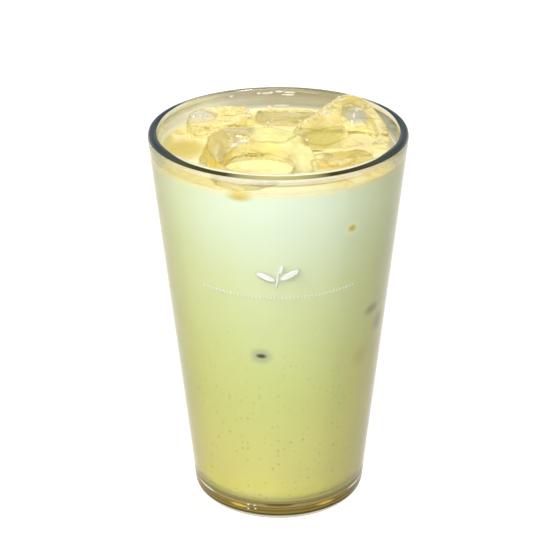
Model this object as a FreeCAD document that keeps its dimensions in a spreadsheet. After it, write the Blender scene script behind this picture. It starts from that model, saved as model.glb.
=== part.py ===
import FreeCAD, Part
import math
import os
import Sketcher

# An iced latte in a straight-sided tumbler: the glass, the drink poured into it up to its
# level, and five part-melted ice blocks that stand out of the drink.  Millimetres, +Z up,
# origin at the middle of the foot, the side that faces the drinker towards -Y.

doc = FreeCAD.newDocument("iced_latte")
sheet = doc.addObject("Spreadsheet::Sheet", "sizes")

GLASS_SIZES = [
    ("glass_height", 136.5, "table to the top of the rim"),
    ("rim_radius", 44.15, "outer radius that the wall would reach at the top"),
    ("foot_radius", 30.2, "outer radius that the wall would reach at the table"),
    ("rim_wall", 3.2, "wall thickness at the rim"),
    ("bowl_radius", 27.4, "inner radius that the wall would reach at the inside floor"),
    ("floor_height", 5.8, "table to the inside floor"),
    ("punt_radius", 22.0, "edge of the shallow hollow under the foot"),
    ("punt_depth", 1.2, "depth of that hollow at its middle"),
    ("rim_round", 1.5, "fire-polished edges of the rim"),
    ("foot_round", 3.6, "outer corner of the foot"),
    ("bowl_round", 5.0, "inside corner between wall and floor"),
    ("drink_level", 128.6, "table to the surface of the drink"),
]

# Each ice block: its sizes, the cup-shaped hollow that freezing leaves in its top face
# (semi-axes, and its place from the middle), and how it lies: the place of its middle, then
# the turns in degrees.  It spins about its own axis, leans towards -Y and swings about Z.
ICE_BLOCKS = {
    "ice_front": dict(
        length=35.0, width=32.0, height=26.0, side_round=10.0, lip_round=2.0, base_round=6.0,
        hollow_length=12.0, hollow_width=11.6, hollow_depth=15.0, hollow_x=-0.4, hollow_y=0.0,
        middle_x=-7.4, middle_y=-14.0, middle_z=120.4, spin=-18.0, lean=20.0, swing=36.0),
    "ice_left": dict(
        length=22.0, width=14.0, height=18.0, side_round=5.0, lip_round=2.2, base_round=4.5,
        hollow_length=0.0, hollow_width=0.0, hollow_depth=0.0, hollow_x=0.0, hollow_y=0.0,
        middle_x=-20.3, middle_y=19.5, middle_z=126.0, spin=22.0, lean=9.0, swing=-14.0),
    "ice_peak": dict(
        length=29.0, width=25.0, height=11.5, side_round=6.5, lip_round=1.4, base_round=6.0,
        hollow_length=5.0, hollow_width=6.2, hollow_depth=7.0, hollow_x=6.2, hollow_y=3.0,
        middle_x=21.3, middle_y=9.9, middle_z=127.6, spin=27.0, lean=50.0, swing=13.4),
    "ice_back": dict(
        length=23.0, width=12.0, height=18.0, side_round=5.0, lip_round=2.4, base_round=4.0,
        hollow_length=0.0, hollow_width=0.0, hollow_depth=0.0, hollow_x=0.0, hollow_y=0.0,
        middle_x=3.6, middle_y=30.0, middle_z=122.0, spin=-4.0, lean=3.0, swing=0.0),
    "ice_right": dict(
        length=21.0, width=10.0, height=12.0, side_round=4.2, lip_round=2.6, base_round=4.0,
        hollow_length=0.0, hollow_width=0.0, hollow_depth=0.0, hollow_x=0.0, hollow_y=0.0,
        middle_x=22.0, middle_y=-9.1, middle_z=124.4, spin=4.0, lean=5.0, swing=10.0),
}


def write_sheet():
    """One row a size: its alias, its value in millimetres or degrees, and what it is."""
    rows = list(GLASS_SIZES)
    for name, block in ICE_BLOCKS.items():
        rows += [(name + "_" + key, value, name + ", " + key) for key, value in block.items()]
    for row, (alias, value, note) in enumerate(rows, start=1):
        sheet.set("A%d" % row, alias)
        sheet.set("B%d" % row, str(value))
        sheet.set("C%d" % row, note)
        sheet.setAlias("B%d" % row, alias)
    doc.recompute()


def size(alias):
    return float(getattr(sheet, alias))


def bind(item, bindings):
    for path, expression in bindings.items():
        item.setExpression(path, expression)


def new_body(name):
    body = doc.addObject("PartDesign::Body", name)
    body.Label = name
    return body


def outline_sketch(body, corners, closed=True):
    """A chain of straight lines on the body's XZ plane, from corner to corner.

    Each corner is (alias of its radius, alias of its height); None puts it on that axis.
    """
    plane = next(item for item in body.Origin.OriginFeatures if item.Role == "XZ_Plane")
    sketch = body.newObject("Sketcher::SketchObject", body.Name + "_outline")
    sketch.AttachmentSupport = [(plane, "")]
    sketch.MapMode = "FlatFace"
    points = [FreeCAD.Vector(size(radius) if radius else 0.0, size(height) if height else 0.0, 0.0)
              for radius, height in corners]
    lines = len(points) if closed else len(points) - 1
    for line in range(lines):
        end = points[(line + 1) % len(points)]
        sketch.addGeometry(Part.LineSegment(points[line], end), False)
    for line in range(lines if closed else lines - 1):
        following = (line + 1) % lines
        sketch.addConstraint(Sketcher.Constraint("Coincident", line, 2, following, 1))
    for place, (radius, height) in enumerate(corners):
        line, end = (place, 1) if place < lines else (place - 1, 2)
        for axis, kind, alias in ((-2, "DistanceX", radius), (-1, "DistanceY", height)):
            if alias is None:
                sketch.addConstraint(Sketcher.Constraint("PointOnObject", line, end, axis))
                continue
            number = sketch.addConstraint(
                Sketcher.Constraint(kind, -1, 1, line, end, size(alias)))
            sketch.setExpression("Constraints[%d]" % number, "sizes." + alias)
    return sketch


def revolve(body, sketch):
    turned = body.newObject("PartDesign::Revolution", body.Name + "_turned")
    turned.Profile = sketch
    turned.ReferenceAxis = (sketch, ["V_Axis"])
    turned.Angle = 360.0
    doc.recompute()
    return turned


def round_edges(body, name, wanted, radius):
    """Rounds the edges of the body's last feature for which wanted(edge) is true."""
    base = body.Tip
    edges = ["Edge%d" % (number + 1) for number, edge in enumerate(base.Shape.Edges) if wanted(edge)]
    rounded = body.newObject("PartDesign::Fillet", body.Name + "_" + name)
    rounded.Base = (base, edges)
    bind(rounded, {"Radius": "sizes." + radius})
    doc.recompute()
    return rounded


def at_height(height, least_radius=0.0):
    """A test for level edges at that height that keep outside a radius."""
    def wanted(edge):
        box = edge.BoundBox
        level = abs(box.ZMin - height) < 1e-4 and abs(box.ZMax - height) < 1e-4
        return level and box.XMax > least_radius
    return wanted


def upright(edge):
    box = edge.BoundBox
    return box.ZLength > 1.0 and box.XLength < 1e-4 and box.YLength < 1e-4


def make_tumbler():
    """The glass: turned from its outline, with a punt under it and polished corners."""
    sheet.set("A900", "rim_bore")
    sheet.set("B900", "=rim_radius - rim_wall")
    sheet.setAlias("B900", "rim_bore")
    doc.recompute()
    body = new_body("glass_tumbler")
    sketch = outline_sketch(body, [
        (None, "punt_depth"), (None, "floor_height"), ("bowl_radius", "floor_height"),
        ("rim_bore", "glass_height"), ("rim_radius", "glass_height"), ("foot_radius", None),
        ("punt_radius", None)], closed=False)
    rise, reach = size("punt_depth"), size("punt_radius")
    drop = (reach * reach - rise * rise) / (2.0 * rise)
    circle = Part.Circle(FreeCAD.Vector(0, -drop, 0), FreeCAD.Vector(0, 0, 1), drop + rise)
    arc = sketch.addGeometry(Part.ArcOfCircle(circle, math.atan2(drop, reach), math.pi / 2), False)
    last_line = arc - 1
    sketch.addConstraint(Sketcher.Constraint("Coincident", last_line, 2, arc, 1))
    sketch.addConstraint(Sketcher.Constraint("Coincident", 0, 1, arc, 2))
    sketch.addConstraint(Sketcher.Constraint("PointOnObject", arc, 3, -2))
    revolve(body, sketch)
    height = size("glass_height")
    round_edges(body, "rim", at_height(height), "rim_round")
    round_edges(body, "foot", at_height(0.0, size("punt_radius") + 1.0), "foot_round")
    round_edges(body, "bowl", at_height(size("floor_height")), "bowl_round")
    return body


def make_drink():
    """What was poured: it fills the glass from wall to wall up to its level."""
    sheet.set("A901", "level_radius")
    sheet.set("B901", "=bowl_radius + (rim_bore - bowl_radius) * (drink_level - floor_height)"
                      " / (glass_height - floor_height)")
    sheet.setAlias("B901", "level_radius")
    doc.recompute()
    body = new_body("drink_poured")
    sketch = outline_sketch(body, [
        (None, "floor_height"), ("bowl_radius", "floor_height"), ("level_radius", "drink_level"),
        (None, "drink_level")])
    revolve(body, sketch)
    round_edges(body, "bowl", at_height(size("floor_height")), "bowl_round")
    return body


def make_ice(name):
    """A block with rounded sides, the hollow in its top, and melted lip and base."""
    cell = "sizes." + name + "_"
    body = new_body(name)
    block = body.newObject("PartDesign::AdditiveBox", name + "_block")
    bind(block, {
        "Length": cell + "length", "Width": cell + "width", "Height": cell + "height",
        "Placement.Base.x": "-" + cell + "length / 2",
        "Placement.Base.y": "-" + cell + "width / 2",
        "Placement.Base.z": "-" + cell + "height / 2"})
    doc.recompute()
    round_edges(body, "sides", upright, name + "_side_round")
    half_height = size(name + "_height") / 2.0
    if size(name + "_hollow_depth") > 0.0:
        hollow = body.newObject("PartDesign::SubtractiveEllipsoid", name + "_hollow")
        bind(hollow, {
            "Radius1": cell + "hollow_depth", "Radius2": cell + "hollow_length",
            "Radius3": cell + "hollow_width", "Placement.Base.x": cell + "hollow_x",
            "Placement.Base.y": cell + "hollow_y", "Placement.Base.z": cell + "height / 2"})
        hollow.Angle1 = -90.0
        hollow.Angle2 = 90.0
        hollow.Angle3 = 360.0
        doc.recompute()
    round_edges(body, "lip", at_height(half_height, -1e3), name + "_lip_round")
    round_edges(body, "base", at_height(-half_height, -1e3), name + "_base_round")
    place = "; ".join(cell + "middle_" + axis for axis in "xyz")
    bind(body, {"Placement": "placement(vector(%s); rotation(%sswing; 0; 0) * rotation(0; 0; %slean)"
                             " * rotation(%sspin; 0; 0))" % (place, cell, cell, cell)})
    doc.recompute()
    return body


def make_latte(drink, blocks):
    """The drink, cut round the ice that floats in it."""
    ice = doc.addObject("Part::MultiFuse", "ice_together")
    ice.Shapes = blocks
    latte = doc.addObject("Part::Cut", "latte")
    latte.Label = "latte"
    latte.Base = drink
    latte.Tool = ice
    doc.recompute()
    return latte


write_sheet()
tumbler = make_tumbler()
poured = make_drink()
ice_bodies = [make_ice(name) for name in ICE_BLOCKS]
latte_solid = make_latte(poured, ice_bodies)
doc.recompute()

for item in doc.Objects:
    if "Invalid" in item.State or "Error" in item.State:
        raise RuntimeError("%s has failed: %s" % (item.Name, item.State))

os.makedirs("parts", exist_ok=True)
for item in [tumbler, latte_solid] + ice_bodies:
    shape = item.Shape
    if shape.isNull() or not shape.isValid() or len(shape.Solids) != 1:
        raise RuntimeError(item.Label + " is not one valid solid")
    shape.exportStep("parts/" + item.Label + ".step")
    box = shape.BoundBox
    print("%-14s %9.1f mm3  x %6.1f %6.1f  y %6.1f %6.1f  z %6.1f %6.1f"
          % (item.Label, shape.Volume, box.XMin, box.XMax, box.YMin, box.YMax, box.ZMin, box.ZMax))
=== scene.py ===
import math

import bpy
import numpy as np
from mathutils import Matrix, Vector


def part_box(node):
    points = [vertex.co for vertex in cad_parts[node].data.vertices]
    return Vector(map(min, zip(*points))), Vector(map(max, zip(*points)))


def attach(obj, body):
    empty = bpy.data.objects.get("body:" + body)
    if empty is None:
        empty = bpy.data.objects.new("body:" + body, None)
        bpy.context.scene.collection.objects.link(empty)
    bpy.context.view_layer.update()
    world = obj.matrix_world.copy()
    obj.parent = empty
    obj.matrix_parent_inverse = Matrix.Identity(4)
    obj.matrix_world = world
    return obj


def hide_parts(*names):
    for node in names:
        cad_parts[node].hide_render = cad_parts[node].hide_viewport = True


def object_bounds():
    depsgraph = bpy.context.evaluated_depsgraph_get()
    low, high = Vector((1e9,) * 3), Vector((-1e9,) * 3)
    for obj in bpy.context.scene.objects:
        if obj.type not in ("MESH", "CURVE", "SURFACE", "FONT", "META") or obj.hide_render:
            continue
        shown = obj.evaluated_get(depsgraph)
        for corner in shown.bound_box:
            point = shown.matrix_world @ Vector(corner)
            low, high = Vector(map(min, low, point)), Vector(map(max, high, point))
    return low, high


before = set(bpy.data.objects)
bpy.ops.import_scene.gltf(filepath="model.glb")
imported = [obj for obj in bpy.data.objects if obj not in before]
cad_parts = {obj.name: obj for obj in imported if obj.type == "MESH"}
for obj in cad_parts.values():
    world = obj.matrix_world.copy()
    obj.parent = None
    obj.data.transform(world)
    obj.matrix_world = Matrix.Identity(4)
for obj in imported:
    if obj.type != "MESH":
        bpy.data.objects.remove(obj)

cad_low, cad_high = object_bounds()

# ---------------------------------------------------------------------------------------
# The tumbler: soda-lime glass, pressed or blown into a straight-sided mould, its rim melted
# round by a flame and its foot left with a shallow hollow so that it stands on a ring.
# ---------------------------------------------------------------------------------------
MM = 0.001
GLASS_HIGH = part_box("glass_tumbler")[1]
GLASS_TOP = GLASS_HIGH[2]
RIM_RADIUS = GLASS_HIGH[0]
FOOT_RADIUS = 30.2 * MM
BORE_RADIUS = 40.95 * MM
BOWL_RADIUS = 27.4 * MM
FLOOR_HEIGHT = 5.8 * MM
PUNT_RADIUS, PUNT_DEPTH = 22.0 * MM, 1.2 * MM
FOOT_ROUND, BOWL_ROUND = 3.6 * MM, 5.0 * MM
BEAD_OUTSIDE, BEAD_INSIDE = 3.2 * MM, 1.5 * MM


def outer_radius(height):
    """The wall's outer radius there: straight from the foot to where the bead starts."""
    return FOOT_RADIUS + (RIM_RADIUS - FOOT_RADIUS) * height / (GLASS_TOP - BEAD_OUTSIDE)


def inner_radius(height):
    """The wall's inner radius there: straight from the floor's to the bore's at the rim."""
    share = (height - FLOOR_HEIGHT) / (GLASS_TOP - FLOOR_HEIGHT)
    return BOWL_RADIUS + (BORE_RADIUS - BOWL_RADIUS) * share


def line(start, end, steps):
    """Points evenly along a straight line, its last one left out."""
    share = np.linspace(0.0, 1.0, steps, endpoint=False)[:, None]
    return (1.0 - share) * np.array(start) + share * np.array(end)


def corner(before, point, after, radius, steps=12):
    """An arc of that radius that touches the two lines through a corner point."""
    before, point, after = (np.array(p, float) for p in (before, point, after))
    one = (before - point) / np.linalg.norm(before - point)
    two = (after - point) / np.linalg.norm(after - point)
    half = math.acos(np.clip(one @ two, -1.0, 1.0)) / 2.0
    middle = point + (one + two) / np.linalg.norm(one + two) * radius / math.sin(half)
    start = point + one * radius / math.tan(half) - middle
    end = point + two * radius / math.tan(half) - middle
    turn = math.atan2(start[0] * end[1] - start[1] * end[0], start @ end)
    angle = np.linspace(0.0, turn, steps)[:, None]
    across = np.array([-start[1], start[0]])
    return middle + np.cos(angle) * start + np.sin(angle) * across


def shell(name, rings):
    """Closed surfaces from rings of points, (ring, place in ring, xyz), or a stack of such.

    Each ring joins the next by four-sided faces.  The first and last ring of a surface are
    each drawn together to one point at their mean, so that both ends are closed.  The faces
    are turned over where the volume inside them would come out negative.
    """
    rings = rings.reshape(-1, *rings.shape[-3:])
    pieces, rows, count = len(rings), rings.shape[1] - 2, rings.shape[2]
    ends = rings[:, [0, -1]].mean(axis=2)
    points = np.concatenate([rings[:, 1:-1].reshape(pieces, -1, 3), ends], axis=1)
    here = np.arange(count)
    beside = (here + 1) % count
    row = np.arange(rows - 1)[:, None] * count
    quads = np.stack([row + here, row + beside, row + count + beside, row + count + here], -1)
    quads = quads.reshape(-1, 4)
    first, top = rows * count, (rows - 1) * count
    caps = np.concatenate([
        np.stack([np.full(count, first), beside, here], -1),
        np.stack([np.full(count, first + 1), top + here, top + beside], -1)])
    starts = np.arange(pieces)[:, None] * points.shape[1]
    corners = (np.concatenate([quads.ravel(), caps.ravel()]) + starts).ravel()
    sizes = np.concatenate([np.full(len(quads), 4), np.full(len(caps), 3)])
    halves = np.concatenate([quads[:, :3], quads[:, [0, 2, 3]], caps])
    a, b, c = (points[:, halves[:, place]] for place in range(3))
    inside_out = (a * np.cross(b, c)).sum() < 0.0
    return add_mesh(name, points.reshape(-1, 3), corners, np.tile(sizes, pieces), inside_out)


def add_mesh(name, points, corners, sizes, turn_over=False):
    """A smooth-shaded object of faces given by their corners, in one run, and their sizes."""
    if turn_over:
        ends = np.cumsum(sizes)
        starts = ends - sizes
        owner = np.repeat(np.arange(len(sizes)), sizes)
        corners = corners[(starts + ends - 1)[owner] - np.arange(len(corners))]
    mesh = bpy.data.meshes.new(name)
    mesh.vertices.add(len(points))
    mesh.vertices.foreach_set("co", points.astype(np.float32).ravel())
    mesh.loops.add(len(corners))
    mesh.loops.foreach_set("vertex_index", corners.astype(np.int32))
    mesh.polygons.add(len(sizes))
    mesh.polygons.foreach_set("loop_start", (np.cumsum(sizes) - sizes).astype(np.int32))
    mesh.update(calc_edges=True)
    mesh.validate()
    mesh.shade_smooth()
    piece = bpy.data.objects.new(name, mesh)
    bpy.context.scene.collection.objects.link(piece)
    return piece


def turned(name, profile, count=192):
    """A profile of (radius, height) points carried once round Z."""
    angle = np.linspace(0.0, 2.0 * math.pi, count, endpoint=False)
    radius, height = profile[:, 0, None], profile[:, 1, None]
    rings = np.stack([radius * np.cos(angle), radius * np.sin(angle),
                      np.broadcast_to(height, (len(profile), count))], axis=-1)
    return shell(name, rings)


def tumbler_profile():
    """Up the outside from the punt, over the flame-rounded bead and down the inside."""
    punt_share = np.linspace(0.0, 1.0, 14, endpoint=False)
    punt = np.stack([PUNT_RADIUS * punt_share, PUNT_DEPTH * (1.0 - punt_share ** 2)], -1)
    foot = (FOOT_RADIUS, 0.0)
    shoulder = (outer_radius(GLASS_TOP - BEAD_OUTSIDE), GLASS_TOP - BEAD_OUTSIDE)
    foot_arc = corner((PUNT_RADIUS, 0.0), foot, shoulder, FOOT_ROUND)
    crown = (shoulder[0] + inner_radius(GLASS_TOP - BEAD_INSIDE)) / 2.0
    half_wall = shoulder[0] - crown
    swing = np.linspace(0.0, math.pi, 49)
    outside = swing < math.pi / 2
    drop = np.where(outside, BEAD_OUTSIDE, BEAD_INSIDE)
    squareness = np.where(outside, 0.62, 0.9)
    across = np.sign(np.cos(swing)) * np.abs(np.cos(swing)) ** squareness
    bead = np.stack([crown + half_wall * across,
                     GLASS_TOP - drop * (1.0 - np.sin(swing) ** squareness)], -1)
    bore = tuple(bead[-1])
    floor = (BOWL_RADIUS, FLOOR_HEIGHT)
    bowl_arc = corner(bore, floor, (0.0, FLOOR_HEIGHT), BOWL_ROUND)
    return np.concatenate([
        punt, line((PUNT_RADIUS, 0.0), foot_arc[0], 4), foot_arc,
        line(foot_arc[-1], shoulder, 60)[1:], bead, line(bore, bowl_arc[0], 60)[1:], bowl_arc,
        line(bowl_arc[-1], (0.0, FLOOR_HEIGHT), 12)[1:], [(0.0, FLOOR_HEIGHT)]])


def linear(text):
    """An sRGB colour written as hex, turned to the linear values that a shader takes."""
    channels = [int(text[place:place + 2], 16) / 255.0 for place in (1, 3, 5)]
    curve = [c / 12.92 if c <= 0.04045 else ((c + 0.055) / 1.055) ** 2.4 for c in channels]
    return (*curve, 1.0)


def node(tree, kind, sockets=None, stops=None, **settings):
    """Adds a node: its settings first, then each socket's value or the link that feeds it.

    A colour ramp's stops are (position, hex colour), from low to high.
    """
    made = tree.nodes.new(kind)
    for key, value in settings.items():
        setattr(made, key, value)
    for key, value in (sockets or {}).items():
        if isinstance(value, bpy.types.NodeSocket):
            tree.links.new(value, made.inputs[key])
        else:
            made.inputs[key].default_value = value
    for place, (position, colour) in enumerate(stops or ()):
        elements = made.color_ramp.elements
        element = elements[place] if place < len(elements) else elements.new(1.0)
        element.position = position
        element.color = linear(colour)
    return made


def new_material(name):
    """An empty material and its node tree."""
    made = bpy.data.materials.new(name)
    made.use_nodes = True
    made.node_tree.nodes.clear()
    return made, made.node_tree


def lets_lamps_through(tree, surface, volume=None):
    """Clear solids light what is behind them: a shadow ray passes, all others refract."""
    path = node(tree, "ShaderNodeLightPath")
    clear = node(tree, "ShaderNodeBsdfTransparent")
    mixed = node(tree, "ShaderNodeMixShader", {
        0: path.outputs["Is Shadow Ray"], 1: surface, 2: clear.outputs[0]})
    sockets = {"Surface": mixed.outputs[0]}
    if volume is not None:
        sockets["Volume"] = volume
    return node(tree, "ShaderNodeOutputMaterial", sockets)


def spot(tree, vector, below, centre, reach, colour, full=0.0):
    """Lays a soft-edged spot over the colour below: full at its centre, gone at its reach."""
    away = node(tree, "ShaderNodeVectorMath", {
        0: vector, 1: tuple(value * MM for value in centre)}, operation="SUBTRACT")
    away = node(tree, "ShaderNodeVectorMath", {
        0: away.outputs[0], 1: tuple(1.0 / (value * MM) for value in reach)},
        operation="MULTIPLY")
    away = node(tree, "ShaderNodeVectorMath", {0: away.outputs[0]}, operation="LENGTH")
    share = node(tree, "ShaderNodeMapRange", {
        "Value": away.outputs["Value"], "From Min": full, "From Max": 1.0, "To Min": 1.0,
        "To Max": 0.0}, interpolation_type="SMOOTHSTEP")
    return node(tree, "ShaderNodeMix", {
        "Factor": share.outputs[0], "A": below, "B": linear(colour)},
        data_type="RGBA").outputs["Result"]


def places(tree):
    """Object coordinates as one vector, as X, Y and Z, and as the distance from the axis."""
    here = node(tree, "ShaderNodeTexCoord").outputs["Object"]
    split = node(tree, "ShaderNodeSeparateXYZ", {0: here})
    flat = node(tree, "ShaderNodeVectorMath", {0: here, 1: (1.0, 1.0, 0.0)},
                operation="MULTIPLY")
    away = node(tree, "ShaderNodeVectorMath", {0: flat.outputs[0]}, operation="LENGTH")
    return here, *split.outputs, away.outputs["Value"]


# Painted see-through colour and shade on the upper front wall: pale where the ice behind
# shows through, amber where the milk skin does, and a thin line of painted shade under the
# bead; place, reach, colour and core.
WALL_TINTS = [
    ((-24.0, -36.0, 131.6), (13.0, 12.0, 2.8), "#eeeacc", 0.3),
    ((22.0, -37.5, 131.6), (14.0, 12.0, 2.6), "#f4f2e0", 0.3),
    ((-12.4, -41.5, 129.4), (5.6, 8.0, 2.0), "#e9cf68", 0.25),
    ((9.0, -43.0, 133.1), (34.0, 14.0, 0.5), "#b4aa6c", 0.5)]

# Painted light on the foot, for the lamps and the drink seen in it: amber glints, a dark
# lens of painted shade and white painted highlights; place, reach, colour and core.
FOOT_SPOTS = [
    ((-14.1, -27.2, 5.1), (6.0, 3.4, 0.9), "#ffd75a", 0.2),
    ((16.5, -25.8, 5.2), (6.4, 4.2, 0.9), "#ffd75a", 0.2),
    ((0.2, -30.9, 7.1), (6.4, 3.0, 0.75), "#6e5e30", 0.6),
    ((-25.8, -16.2, 6.5), (4.6, 7.5, 0.55), "#ffffff", 0.6),
    ((27.0, -14.0, 6.3), (4.4, 8.0, 0.55), "#ffffff", 0.6),
    ((-10.8, -28.8, 6.3), (0.6, 2.0, 0.55), "#ffffff", 0.5),
    ((-10.8, -28.4, 4.4), (0.5, 2.0, 0.5), "#ffffff", 0.5),
    ((-8.6, -29.3, 6.3), (0.6, 2.0, 0.45), "#ffffff", 0.5),
    ((-8.3, -29.2, 4.9), (0.5, 2.0, 0.5), "#ffffff", 0.5)]


def soda_lime_glass():
    """Soda-lime glass, fire-polished: clear face on; seen along its edge it is duller and
    warmer, partly from the longer path through the glass and partly as painted shade.

    The thick foot is painted in amber bands, with painted glints and highlights, for the
    drink and the lamps seen in it.  A slate band of painted shade runs along the outer
    shoulder of the rim, wide at the sides and thin in front, for the dark surroundings that
    the bead refracts.  Above the drink the far wall is painted khaki-grey: painted shade for
    the shaded table seen through it.
    """
    made, tree = new_material("soda_lime_glass_fire_polished")
    here, x, y, z, radius = places(tree)
    facing = node(tree, "ShaderNodeLayerWeight", {"Blend": 0.5}).outputs["Facing"]
    ripple = node(tree, "ShaderNodeTexNoise", {
        "Vector": here, "Scale": 1.0 / (14.0 * MM), "Detail": 1.0})
    bump = node(tree, "ShaderNodeBump", {
        "Height": ripple.outputs[0], "Strength": 0.25, "Distance": 0.12 * MM})
    # How far out a place is past the slate band's inner edge, whose radius goes with Y.
    beyond = radius
    for low, high, first, last, curve in [
            (-38.0, -25.0, 43.35, 42.8, "LINEAR"), (-33.0, -14.0, 0.0, -1.75, "SMOOTHSTEP"),
            (6.0, 34.0, 0.0, 1.1, "LINEAR")]:
        edge = node(tree, "ShaderNodeMapRange", {
            "Value": y, "From Min": low * MM, "From Max": high * MM, "To Min": first * MM,
            "To Max": last * MM}, interpolation_type=curve)
        beyond = node(tree, "ShaderNodeMath", {0: beyond, 1: edge.outputs[0]},
                      operation="SUBTRACT").outputs[0]
    # Each share goes from 0 to its last value while its source goes from one end to the other.
    share = {}
    for name, source, low, high, last, curve in [
            ("long_way_and_edge_shade", facing, 0.08, 0.95, 1.0, "LINEAR"),
            ("grazing", facing, 0.36, 0.52, 1.0, "SMOOTHSTEP"),
            ("sideways", x, -44.0 * MM, 44.0 * MM, 1.0, "LINEAR"),
            ("round_rim", y, -44.0 * MM, -8.0 * MM, 1.0, "LINEAR"),
            ("far", y, -26.0 * MM, 6.0 * MM, 1.0, "SMOOTHSTEP"),
            ("back", y, 22.0 * MM, 38.0 * MM, 1.0, "SMOOTHSTEP"),
            ("near", y, 38.0 * MM, 22.0 * MM, 1.0, "SMOOTHSTEP"),
            ("above", z, 128.4 * MM, 130.0 * MM, 1.0, "LINEAR"),
            ("bead", z, GLASS_TOP - 1.2 * MM, GLASS_TOP - 0.8 * MM, 1.0, "LINEAR"),
            ("over", z, GLASS_TOP - 1.5 * MM, GLASS_TOP - 1.3 * MM, 1.0, "LINEAR"),
            ("shoulder", z, GLASS_TOP - 3.4 * MM, GLASS_TOP - 2.8 * MM, 0.42, "LINEAR"),
            ("foot", z, 9.5 * MM, 9.1 * MM, 0.86, "LINEAR"),
            ("foot_height", z, 0.0, 10.0 * MM, 1.0, "LINEAR"),
            ("across", beyond, -0.08 * MM, 0.08 * MM, 1.0, "LINEAR"),
            ("beside", beyond, -0.75 * MM, -0.5 * MM, 1.0, "LINEAR"),
            ("top_face", radius, BORE_RADIUS - 0.3 * MM, BORE_RADIUS - 0.1 * MM, 1.0,
             "LINEAR")]:
        share[name] = node(tree, "ShaderNodeMapRange", {
            "Value": source, "From Min": low, "From Max": high, "To Max": last},
            interpolation_type=curve).outputs[0]
    for name, one, two in [
            ("far_wall_shade", "above", "far"), ("khaki", "grazing", "bead"),
            ("khaki", "khaki", "back"), ("front", "over", "near"),
            ("band", "across", "front"), ("top_face", "top_face", "front"),
            ("beside", "beside", "front")]:
        share[name] = node(tree, "ShaderNodeMath", {0: share[one], 1: share[two]},
                           operation="MULTIPLY").outputs[0]
    # The wall: warmer and darker edge on, partly painted shade; spots of painted see-through
    # colour and shade on its upper front; painted shade on the far wall above the drink and on
    # the far rim.  In front the rim's top is painted with the drink seen through it, and a
    # painted highlight runs as a cream line beside the band.
    tone = node(tree, "ShaderNodeValToRGB", {0: share["long_way_and_edge_shade"]}, stops=[
        (0.0, "#fdfefc"), (0.45, "#e8e0a8"), (0.72, "#bcae60"), (0.88, "#988420"),
        (1.0, "#454310")]).outputs[0]
    for centre, reach, colour, full in WALL_TINTS:
        tone = spot(tree, here, tone, centre, reach, colour, full)
    far_wall_shade_tone = node(tree, "ShaderNodeValToRGB", {0: share["sideways"]}, stops=[
        (0.0, "#bcb798"), (0.12, "#d2ceb2"), (0.2, "#dcd8be"), (0.3, "#c0bca6"),
        (0.5, "#b0aa8c"), (0.7, "#b0aa8a"), (0.84, "#aeac96"), (0.92, "#96988a")])
    for name, colour in [
            ("far_wall_shade", far_wall_shade_tone.outputs[0]), ("khaki", linear("#9b9370")),
            ("top_face", linear("#fbf0b2")), ("beside", linear("#fefbe6"))]:
        tone = node(tree, "ShaderNodeMix", {"Factor": share[name], "A": tone, "B": colour},
                    data_type="RGBA").outputs["Result"]
    # The shoulder below the bead, except on the far rim, and the rim's top in front are partly
    # opaque, so that their painted tones show lit by the lamps: a painted light band on the
    # shoulder and the drink on the rim's top.
    dull = node(tree, "ShaderNodeMath", {0: share["shoulder"], 1: share["khaki"]},
                operation="SUBTRACT", use_clamp=True)
    dull = node(tree, "ShaderNodeMath", {
        0: share["top_face"], 1: 0.35, 2: dull.outputs[0]}, operation="MULTIPLY_ADD")
    clear = node(tree, "ShaderNodeMath", {0: 1.0, 1: dull.outputs[0]}, operation="SUBTRACT",
                 use_clamp=True)
    glass = node(tree, "ShaderNodeBsdfPrincipled", {
        "Base Color": tone, "Roughness": 0.0, "IOR": 1.52,
        "Transmission Weight": clear.outputs[0], "Normal": bump.outputs[0]})
    # The thick glass, partly opaque and painted: the slate band of painted shade, and the
    # foot, its painted tone by height, with painted glints and highlights for the lamps in it.
    band_tone = node(tree, "ShaderNodeValToRGB", {0: share["round_rim"]}, stops=[
        (0.0, "#c6c184"), (0.05, "#a39f6c"), (0.10, "#453f1c"), (0.25, "#464428"),
        (0.40, "#4a4e3a"), (0.52, "#424a3e"), (0.75, "#2e3b3e"), (1.0, "#2d3a42")])
    foot_tone = node(tree, "ShaderNodeValToRGB", {0: share["foot_height"]}, stops=[
        (0.17, "#fffdf2"), (0.22, "#fffdf0"), (0.25, "#a49a68"), (0.28, "#1c1400"),
        (0.32, "#1c1400"), (0.345, "#907a28"), (0.395, "#9c8630"), (0.44, "#766008"),
        (0.49, "#826c10"), (0.54, "#a8924a"), (0.59, "#705c14"), (0.63, "#c8b47c"),
        (0.67, "#a89a5c"), (0.71, "#b0a468"), (0.755, "#776a3a"), (0.795, "#aea370"),
        (0.835, "#968e4e"), (0.875, "#aaa862"), (0.915, "#d0ce88")]).outputs[0]
    for centre, reach, colour, full in FOOT_SPOTS:
        foot_tone = spot(tree, here, foot_tone, centre, reach, colour, full)
    thick_tone = node(tree, "ShaderNodeMix", {
        "Factor": share["band"], "A": foot_tone, "B": band_tone.outputs[0]},
        data_type="RGBA")
    thick = node(tree, "ShaderNodeBsdfPrincipled", {
        "Base Color": thick_tone.outputs["Result"], "Roughness": 0.25,
        "Specular IOR Level": 0.1})
    thick_share = node(tree, "ShaderNodeMath", {0: share["foot"], 1: share["band"]},
                       operation="MAXIMUM")
    whole = node(tree, "ShaderNodeMixShader", {
        0: thick_share.outputs[0], 1: glass.outputs[0], 2: thick.outputs[0]})
    tint = node(tree, "ShaderNodeVolumeAbsorption", {
        "Color": linear("#c2d2d2"), "Density": 8.0})
    lets_lamps_through(tree, whole.outputs[0], tint.outputs[0])
    return made


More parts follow.
